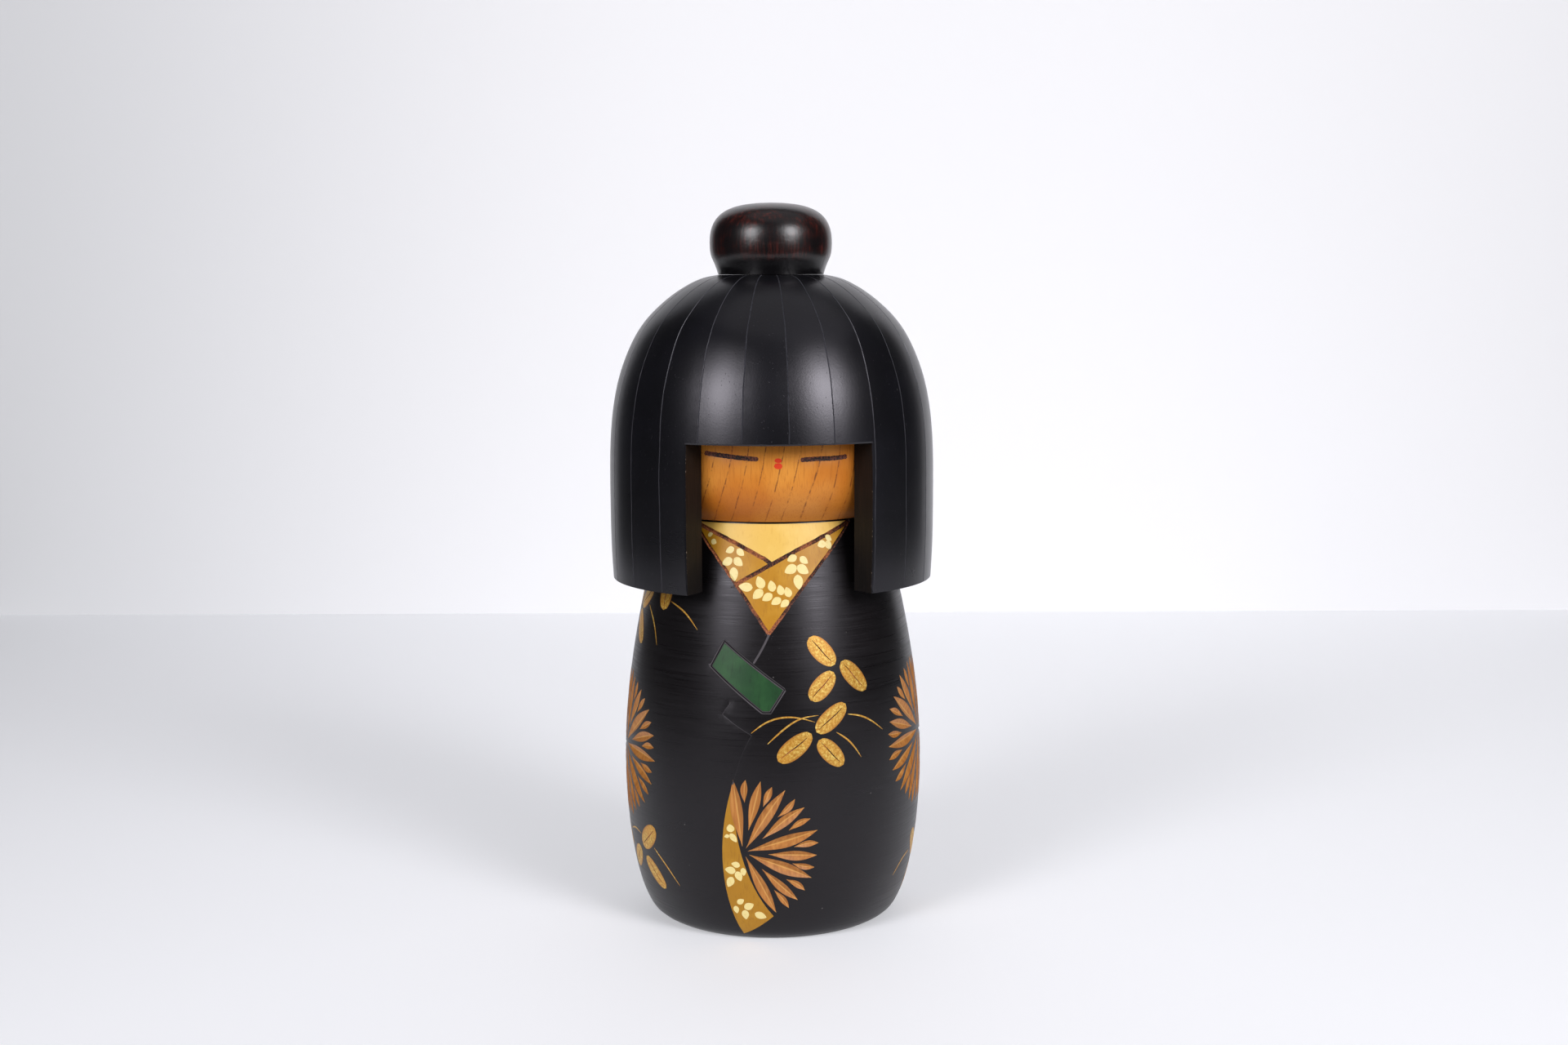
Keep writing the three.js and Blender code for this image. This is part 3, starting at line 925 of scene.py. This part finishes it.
# stems as (azimuth, height) places, leaves as (azimuth, height, tilt, length, width), and sprigs as
# (azimuth, height, which way round, leaves); a later mark lies over an earlier one
gold = {
    "Front": {
        "stems": [[(-7.6, 68.2), (-2.3, 71.4), (4.2, 73.0), (11.2, 72.5), (16.2, 71.2)],
                  [(-1.6, 64.9), (4.6, 69.5), (10.7, 72.4), (17.7, 73.2)],
                  [(29.8, 72.7), (35.5, 71.6), (40.8, 69.4), (46.4, 66.0)],
                  [(24.7, 67.5), (29.4, 64.7), (35.0, 58.8)]],
        "sprigs": [(22.0, 77.0, 1, 6)]},
    "Left": {
        "leaves": [(-57.0, 29.6, 40, 11.8, 6.6), (-70.2, 20.9, 45, 10.5, 6.0),
                   (-55.3, 18.0, -44, 12.8, 5.6), (-84.0, 26.5, -40, 11.5, 6.0),
                   (-53.6, 108.6, 88, 12.0, 6.2), (-74.4, 95.4, -51, 12.8, 5.6),
                   (-72.0, 105.2, 38, 12.0, 5.8), (-88.0, 103.0, 30, 12.0, 6.0)],
        "stems": [[(-53.4, 26.6), (-47.2, 22.4), (-40.3, 16.1)],
                  [(-75.5, 28.8), (-69.5, 30.2), (-63.3, 29.5)],
                  [(-67.3, 103.0), (-59.5, 98.0), (-54.7, 91.6)],
                  [(-49.1, 105.8), (-39.6, 103.1), (-32.1, 98.4)]]},
    "Right": {
        "leaves": [(77.8, 23.4, -50, 12.8, 6.0), (81.0, 11.6, 72, 10.5, 5.6), (90.0, 30.0, 35, 12.0, 6.0)],
        "stems": [[(71.4, 21.9), (64.8, 20.4), (58.1, 16.1)]]},
    "Back": {
        "sprigs": [(124.0, 96.0, -1, 6), (-121.0, 74.0, 1, 6), (190.0, 100.0, -1, 3)],
        "stems": [[(118.0, 88.0), (126.0, 83.0), (134.0, 76.0)],
                  [(-132.0, 88.0), (-124.0, 92.0), (-114.0, 94.0)]]},
}


def paintSprig(place, film):
    azimuth, height, flip, count = place
    middle = Spot(robeSurface, azimuth, height)
    for x, y, tilt, length, width in sprigLeaves[:count]:
        across, along = middle.toSheet([(x * flip, y)])[0]
        turn = math.degrees(across / robeSurface.widest)
        paintLeaf((turn, robeSurface.heightAt(along), tilt if flip > 0 else 180 - tilt, length, width), film)


painting = {"stems": paintStem, "leaves": paintLeaf, "sprigs": paintSprig}
for side, kinds in gold.items():
    for kind, places in kinds.items():
        for place in places:
            painting[kind](place, "gold" + side)

# the green pad inside its cut outline, and the cut folds of the robe
pad = {"corners": [(-19.2, 95.1), (-23.9, 88.0), (-3.3, 74.9), (-1.0, 74.9), (4.2, 81.3)],
       "points": 9, "lineWidth": 1.0, "lineDepth": 0.34, "lineOut": 0.5, "linePast": 0.3, "linePoints": 13}
folds = [([(-1.3, 97.6), (-3.9, 93.6), (-6.9, 89.6)], 0.8, 0.2, 25),  # places, width, depth, points
         ([(-16.2, 76.7), (-17.8, 75.0), (-18.8, 73.6)], 0.5, 0.055, 7),
         ([(-18.8, 73.6), (-13.4, 70.4), (-7.6, 67.5)], 0.5, 0.055, 15),
         ([(-7.6, 67.5), (-10.6, 62.4), (-13.5, 55.0), (-14.6, 52.0)], 0.5, 0.038, 15)]


def setPad():
    spot, corners = spotAmong(robeSurface, pad["corners"])
    sides = list(zip(corners, np.roll(corners, -1, 0)))
    robe.add(Patch(spot, np.vstack([np.linspace(a, b, pad["points"])[:-1] for a, b in sides]), "green"))
    for a, b in sides:
        out = (a + b) / 2 - corners.mean(0)
        out = out / np.linalg.norm(out) * pad["lineOut"]
        past = (b - a) / np.linalg.norm(b - a) * pad["linePast"]
        line = np.linspace(a + out - past, b + out + past, pad["linePoints"])
        robe.add(Ribbon(spot, line, pad["lineWidth"], pad["lineDepth"]))


setPad()
for places, width, depth, count in folds:
    spot, line = spotAmong(robeSurface, places)
    robe.add(Ribbon(spot, curve(line, count), width, depth))
robe.unroll()
print("robe sheet:", len(robe.sheet), "points", len(robe.faces), "faces")

dowelRadius = (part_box("neck_dowel")[1].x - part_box("neck_dowel")[0].x) / 2 / mm
socketRadius = dowelRadius + turning["holeGap"]
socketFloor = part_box("neck_dowel")[0].z / mm - turning["holeEnd"]
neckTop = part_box("trunk")[1].z / mm - turning["skinInset"]
trunkPiece = solidFromSkin(robe, "robeTrunk", finishes["robe"],
                           [(radius, 0.0) for radius in (*robePlan["footRings"], 0.0)],
                           [(socketRadius, neckTop), (socketRadius, socketFloor), (0.0, socketFloor)],
                           {"cut": robe.depth / robePlan["fullCut"]})
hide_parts("trunk")
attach(trunkPiece, trunkBody)
# each film's finish by how its name starts
filmFinish = {"burntEyes": "eyes", "burnt": "burnt", "lips": "lips", "gold": "gold", "petals": "petal",
              "cream": "cream", "neck": "neck", "collar": "collar", "lining": "lining", "green": "green"}


def coatPieces(skin, body):  # one thin coat for each film on a skin
    for film in sorted({f for f in skin.films if f}):
        kind = next(finish for start, finish in filmFinish.items() if film.startswith(start))
        piece = filmFromSkin(skin, film, film + "Coat", finishes[kind])
        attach(piece, body)


coatPieces(robe, trunkBody)
print("robe built")

# the face block; eye lines as (azimuth, height), lips as middle, height and width of each dab
headPlan = {"step": 2.6, "seam": 180.0, "overBores": 20,
            "eyes": [[(-28.4, 153.4), (-20.7, 152.8), (-12.7, 152.2), (-5.1, 151.8)],
                     [(12.3, 151.5), (20.4, 151.7), (27.2, 151.7), (33.1, 152.0)]],
            "eyeWidth": 1.4, "eyeDepth": 0.2, "eyePoints": 41, "eyeWobble": (0.8, 0.16),
            "eyeRagged": (0.7, 0.22), "mouth": (3.0, 150.4), "lips": [(0.92, 1.4, 2.2), (-0.78, 1.85, 2.55)],
            "lipPoints": 17, "lipBow": 0.08, "lipRoundness": 2.1}

# how near the cap's points are to a place that they count for, in mm; same is also used in degrees
reading = {"rimHeight": 0.3, "same": 0.1, "clear": 1, "overCeiling": 3}


def measureCap(node):  # azimuths of the window's sides, its height, and the cavity
    places = np.array([v.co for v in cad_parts[node].data.vertices]) / mm
    radius = np.hypot(places[:, 0], places[:, 1])
    azimuth = np.degrees(np.arctan2(places[:, 0], -places[:, 1]))
    rim = np.abs(places[:, 2] - places[:, 2].min()) < reading["rimHeight"]
    turns = np.unique(azimuth[rim].round(2))
    widest = np.diff(turns).argmax()
    left, right = turns[widest], turns[widest + 1]
    side = np.abs(azimuth - left) < reading["same"]
    hollow = radius[rim].min()
    ceiling = places[np.abs(radius - hollow) < reading["same"], 2].max()
    top = places[side & (radius > hollow + reading["clear"]), 2].max()
    return {"left": left, "right": right, "top": top, "hollow": hollow, "ceiling": ceiling,
            "pin": radius[radius > reading["clear"]].min()}


cap = measureCap("hair_cap")
print("window", {k: round(float(v), 2) for k, v in cap.items()})
headSurface = Turned("head", lambda r, z: r > headPlan["overBores"])
head = Skin(headSurface, headPlan["step"], headPlan["seam"])


def drawFace():
    count = headPlan["eyePoints"]
    for i, places in enumerate(headPlan["eyes"]):
        spot, line = spotAmong(headSurface, places)
        line = wobbled(curve(line, count), headPlan["eyeWobble"], 3.0 + i)
        width = headPlan["eyeWidth"] * (1 + wander(count, headPlan["eyeRagged"], i * 9.0, 1))
        width[0] = width[-1] = headPlan["eyeWidth"] * 0.5
        head.add(Ribbon(spot, line, width, headPlan["eyeDepth"], "burntEyes"))
    spot = Spot(headSurface, *headPlan["mouth"])
    t = np.linspace(0, 1, headPlan["lipPoints"])
    for middle, tall, wide in headPlan["lips"]:
        line = np.column_stack([wide * (t - 0.5), middle + headPlan["lipBow"] * np.sin(t * 4)])
        full = tall * oval(t, headPlan["lipRoundness"]) * (0.95 + 0.1 * t)
        head.add(Ribbon(spot, line, full, 0, "lips", 1.0, (0.5,)))


drawFace()
head.unroll()
headBottom, headTop = (corner.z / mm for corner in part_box("head"))
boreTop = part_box("neck_dowel")[1].z / mm + turning["holeEnd"]
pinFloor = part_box("bun_dowel")[0].z / mm - turning["holeEnd"]
headPiece = solidFromSkin(head, "faceHead", finishes["face"],
                          [(socketRadius, headBottom), (socketRadius, boreTop), (0.0, boreTop)],
                          [(cap["pin"], headTop), (cap["pin"], pinFloor), (0.0, pinFloor)])
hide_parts("head")
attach(headPiece, headBody)
coatPieces(head, headBody)
print("head built")

# the hair: grooves run from its lower edge, or from the fringe, up to the crown
hairPlan = {"step": 2.3, "grooves": 23, "first": 6.2, "spacing": 15.65, "width": 0.4, "depth": 0.3,
            "points": 70, "slowSway": (0.12, 1.6), "quickSway": (0.9, 0.5), "wobble": 0.14,
            "ragged": (1.1, 0.3), "lowGap": 0.4, "fringeGap": 0.7, "topGap": 0.6, "besideWindow": 1,
            "edge": 0.9, "edgeDepth": 0.26, "edgePoints": (24, 36), "nicks": (0.9, 0.35),
            "wallRing": 0.05, "seamBeside": 1.5}
hairSurface = Turned("hair_cap", lambda r, z: r > cap["hollow"] + reading["clear"]
                     or z > cap["ceiling"] + reading["overCeiling"])
hair = Skin(hairSurface, hairPlan["step"], 180.0 + hairPlan["first"] + hairPlan["seamBeside"])


def onHair(azimuth):  # flat coordinates that keep to the sheet, so a groove can run up over the crown
    spot = Spot(hairSurface, azimuth, cap["top"])
    spot.r0 = hairSurface.widest
    return spot


def grooveHair():
    windowTop = hairSurface.lengthAt(cap["top"])
    count, beside = hairPlan["points"], hairPlan["besideWindow"]
    for i in range(hairPlan["grooves"]):
        azimuth = hairPlan["first"] + hairPlan["spacing"] * (i - hairPlan["grooves"] // 2)
        spot = onHair(azimuth)
        inWindow = cap["left"] - beside < azimuth < cap["right"] + beside
        low = windowTop + hairPlan["fringeGap"] if inWindow else hairPlan["lowGap"]
        along = np.linspace(low, hairSurface.length - hairPlan["topGap"], count)
        sway = wander(count, hairPlan["slowSway"], azimuth, 0) \
            + wander(count, hairPlan["quickSway"], azimuth, 7)
        stretch = hairSurface.widest / hairSurface.radiusAt(along)
        line = np.column_stack([sway * hairPlan["wobble"] * np.sqrt(stretch), along - spot.s0])
        width = hairPlan["width"] * stretch * (1 + wander(count, hairPlan["ragged"], azimuth, 3))
        hair.add(Ribbon(spot, line, width, hairPlan["depth"], "groove"))


def cutWindow():
    spot = onHair(0)
    left, right = (math.radians(cap[side]) * hairSurface.widest for side in ("left", "right"))
    top = hairSurface.lengthAt(cap["top"]) - spot.s0
    rows, columns = hairPlan["edgePoints"]
    up = np.linspace(-spot.s0, top, rows)
    sideL = np.column_stack([np.full(rows, left), up])
    sideR = np.column_stack([np.full(rows, right), up])
    fringe = np.column_stack([np.linspace(left, right, columns), np.full(columns, top)])
    nicks = wander(columns, hairPlan["nicks"], 5, 2, True)
    for part in (sideL[1:], fringe, sideR[1:]):
        width = hairPlan["edge"] * (nicks[:len(part)] + 1)
        hair.add(Ribbon(spot, part, width, hairPlan["edgeDepth"], "edge"))
    hair.add(Patch(spot, np.vstack([sideL[:-1], fringe, sideR[-2::-1]]), "window"))


grooveHair()
cutWindow()
hair.unroll()


def hairSolid():  # the carved outside, a plain cavity and the cut walls between them
    kept = [f for f, film in zip(hair.faces, hair.films) if film != "window"]
    used = sorted({i for f in kept for i in f})
    local = {old: new for new, old in enumerate(used)}
    outer = hair.places()[used]
    azimuth, along = hair.azimuth[used], hair.along[used]
    turnOver = hairSurface.lengthAt(cap["ceiling"])
    share = np.clip((along - turnOver) / (hairSurface.length - turnOver), 0, 1)
    radius = cap["hollow"] + (cap["pin"] - cap["hollow"]) * share
    height = np.where(share > 0, cap["ceiling"], hairSurface.heightAt(along))
    inner = np.column_stack([radius * np.sin(azimuth), -radius * np.cos(azimuth), height])
    faces = [tuple(local[i] for i in f) for f in kept]
    count = len(used)
    edges = {(a, b) for f in faces for a, b in zip(f, f[1:] + f[:1])}
    openEdges = [(a, b) for a, b in edges if (b, a) not in edges]
    onEdge = sorted({i for e in openEdges for i in e})
    row = {i: n for n, i in enumerate(onEdge)}
    levels = (hairPlan["wallRing"], 1 - hairPlan["wallRing"])  # rings near its edges keep the wall crisp
    places = [outer, inner] + [outer[onEdge] * (1 - level) + inner[onEdge] * level for level in levels]

    def at(level, i):  # a vertex on the wall: 0 outside, 3 inside
        return (i, count * 2 + row[i], count * 2 + len(onEdge) + row[i], i + count)[level]

    made = faces + [tuple(i + count for i in f[::-1]) for f in faces]
    indices = [0] * len(faces) + [1] * len(faces)
    for a, b in openEdges:
        low = max(along[a], along[b]) < turning["nothing"]
        for level in range(3):
            made.append((at(level, b), at(level, a), at(level + 1, a), at(level + 1, b)))
            indices.append(0 if low and level == 0 else 1)
    edgeWear = np.zeros(count * 2 + 2 * len(onEdge))
    edgeWear[:count] = 1 - hair.across["edge"][used]
    groove = np.zeros_like(edgeWear)
    groove[:count] = 1 - hair.across["groove"][used]
    return meshObject("hairCap", np.vstack(places), made, [finishes["hair"], finishes["cut"]],
                      {"edgeWear": edgeWear, "cut": groove}, indices)


hairPiece = hairSolid()
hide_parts("hair_cap")
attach(hairPiece, headBody)
print("hair built:", len(hairPiece.data.polygons), "faces")

# the bun and the dowels
bunPlan = {"around": 128, "up": 64, "overBore": 4.5, "seatLift": 0.08, "footTuck": 0.1, "footRing": 1.6}
bunSurface = Turned("bun", lambda r, z: r > bunPlan["overBore"])


def bunSolid():
    rows = np.linspace(0, bunSurface.length, bunPlan["up"])
    turns = np.arange(bunPlan["around"]) * 2 * math.pi / bunPlan["around"]
    places, faces = [], []
    n = len(turns)
    for along in rows:
        places += [tuple(p) for p in bunSurface.placed(turns, np.full(n, along))]
    for j in range(len(rows) - 1):
        low, high = j * n, (j + 1) * n
        faces += [(low + i, low + (i + 1) % n, high + (i + 1) % n, high + i) for i in range(n)]
    foot = bunSurface.placed(turns[:1], np.zeros(1))[0]
    footRadius = math.hypot(foot[0], foot[1])
    crown = slice(None, turning["steps"] // 2 - 1, -1)  # the hair's upper outline, from the bun outwards
    seat = np.interp(footRadius, hairSurface.r[crown], hairSurface.z[crown]) + bunPlan["seatLift"]
    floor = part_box("bun")[0].z / mm
    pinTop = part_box("bun_dowel")[1].z / mm + turning["holeEnd"]
    lower = [(footRadius - bunPlan["footTuck"], min(seat, floor)), (footRadius - bunPlan["footRing"], floor),
             (cap["pin"], floor), (cap["pin"], pinTop), (0.0, pinTop)]
    topRim = range(len(places) - n, len(places))
    closeRim(places, faces, range(n), lower, False)
    closeRim(places, faces, topRim, [(0.0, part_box("bun")[1].z / mm)], True)
    return meshObject("topKnot", places, faces, [finishes["bun"]])


bunPiece = bunSolid()
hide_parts("bun")
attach(bunPiece, headBody)
for node in ("neck_dowel", "bun_dowel"):
    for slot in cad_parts[node].material_slots:
        slot.material = finishes["dowel"].material
print("bun and dowels built")
